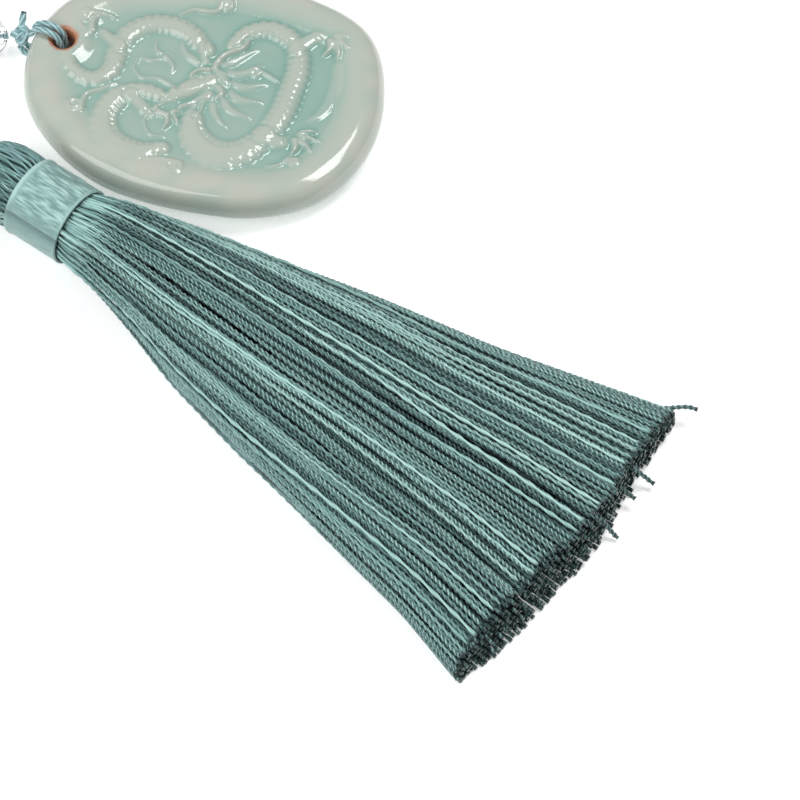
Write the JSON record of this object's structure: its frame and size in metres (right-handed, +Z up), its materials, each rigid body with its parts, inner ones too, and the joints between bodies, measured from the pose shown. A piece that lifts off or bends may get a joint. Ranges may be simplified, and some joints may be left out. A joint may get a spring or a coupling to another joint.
{
  "type": "beaded tassel pendant",
  "caption": "Pendant with a pebble-shaped celadon plate in dragon relief, a clear bead and a long teal yarn tassel, joined by knotted cord that ends in a hanging loop.",
  "frame": {"origin": "under the middle of the object on the table it lies on, the hanging loop left out", "axes": "+Z up from the table; +X to the right in the picture, away from the hanging loop; +Y away from the viewer, from the tassel's end to the plate"},
  "size_m": [0.1572, 0.1146, 0.0122],
  "materials": {
    "tassel_yarn": "satin",
    "satin_ribbon": "satin",
    "celadon_glaze": "glossy",
    "clear_glass": "polished",
    "cord_yarn": "satin",
    "knot_yarn": "satin"
  },
  "bodies": {
    "root": {"tassel": "tassel_yarn", "neck_band": "satin_ribbon", "ceramic_plate": "celadon_glaze", "glass_bead": "clear_glass", "plate_knot": "knot_yarn", "join_knot": "knot_yarn", "plate_loop_back": "cord_yarn", "plate_loop_front": "cord_yarn", "plate_cord": "cord_yarn", "tassel_cord": "cord_yarn", "hanging_loop": "cord_yarn"}
  },
  "joints": []
}
